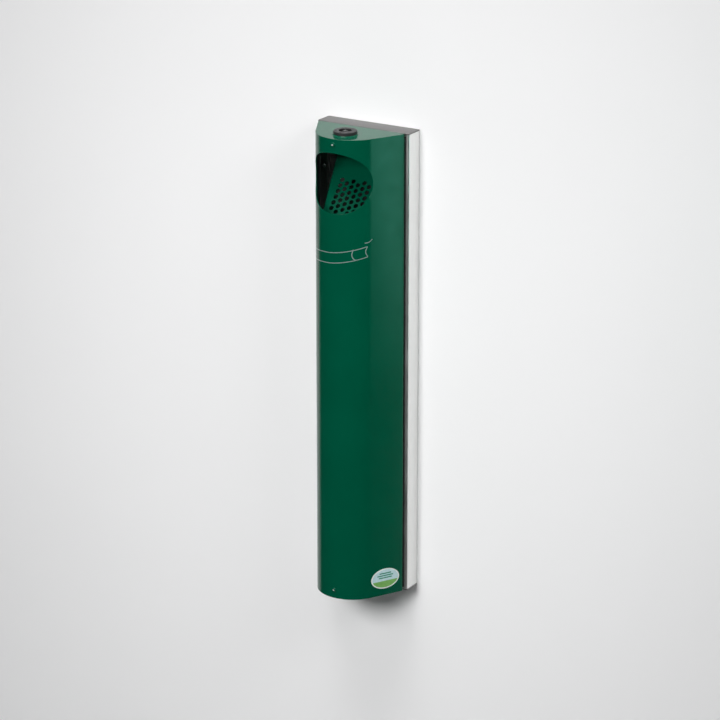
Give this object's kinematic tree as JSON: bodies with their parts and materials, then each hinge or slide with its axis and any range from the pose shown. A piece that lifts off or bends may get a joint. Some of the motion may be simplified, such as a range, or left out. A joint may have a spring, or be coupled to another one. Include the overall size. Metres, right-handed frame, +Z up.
{
  "type": "wall-mounted ashtray bin",
  "caption": "Tall wall-mounted ashtray bin: hinged bullet-shaped cover with an oval mouth and perforated stub-out plate, on a sheet channel, with a lift-out liner.",
  "frame": {"origin": "centre of the wall-screw pattern, on the wall plane, at mid-height", "axes": "+Z up, +Y into the wall, front towards -Y, +X to the right seen from the front"},
  "size_m": [0.132, 0.0972, 0.6048],
  "materials": {
    "satin_metal": "satin",
    "green_paint": "gloss powder coat",
    "black_lock": "satin black",
    "bright_rivet": "bright",
    "hinge_steel": "satin",
    "zinc_steel": "zinc plated",
    "galvanised": "galvanised",
    "gasket_rubber": "matt",
    "label_film": "printed, gloss"
  },
  "bodies": {
    "wall_unit": {"back_channel": "satin_metal", "top_end_cap": "satin_metal", "bottom_end_cap": "satin_metal", "edge_gasket": "gasket_rubber", "strike_bracket": "zinc_steel", "strike_post": "zinc_steel", "strike_rivets": "bright_rivet", "stub_grid": "green_paint", "grid_rivets": "bright_rivet", "liner_shelf": "zinc_steel", "shelf_rivets": "bright_rivet", "hinge_frame_leaf": "hinge_steel", "hinge_leaf_rivets": "bright_rivet", "hinge_pin": "hinge_steel"},
    "cover": {"front_shell": "green_paint", "top_cap": "green_paint", "bottom_cap": "green_paint", "cap_rivets": "green_paint", "hinge_cover_leaf": "hinge_steel", "lock_body": "black_lock", "lock_nut": "zinc_steel", "label_plate": "label_film"},
    "lock_rotor": {"lock_insert": "black_lock", "lock_cam": "zinc_steel", "cam_screw": "zinc_steel"},
    "liner_unit": {"liner": "galvanised", "handle_ears": "galvanised", "ear_rivets": "bright_rivet"},
    "handle": {"liner_handle": "zinc_steel"}
  },
  "joints": [
    {"name": "cover_hinge", "type": "hinge", "parent": "wall_unit", "child": "cover", "pos_m": [-0.0626, -0.02825, 0], "axis": [0, 0, -1], "range_deg": [0, 120]},
    {"name": "lock_turn", "type": "hinge", "parent": "cover", "child": "lock_rotor", "pos_m": [0, -0.067, 0.29], "axis": [0, 0, 1], "range_deg": [0, 90]},
    {"name": "liner_lift", "type": "slide", "parent": "wall_unit", "child": "liner_unit", "axis": [0, 0, 1], "range_m": [0, 0.012]},
    {"name": "handle_fold", "type": "hinge", "parent": "liner_unit", "child": "handle", "pos_m": [0, -0.039, 0.1407], "axis": [-1, 0, 0], "range_deg": [0, 90]}
  ]
}
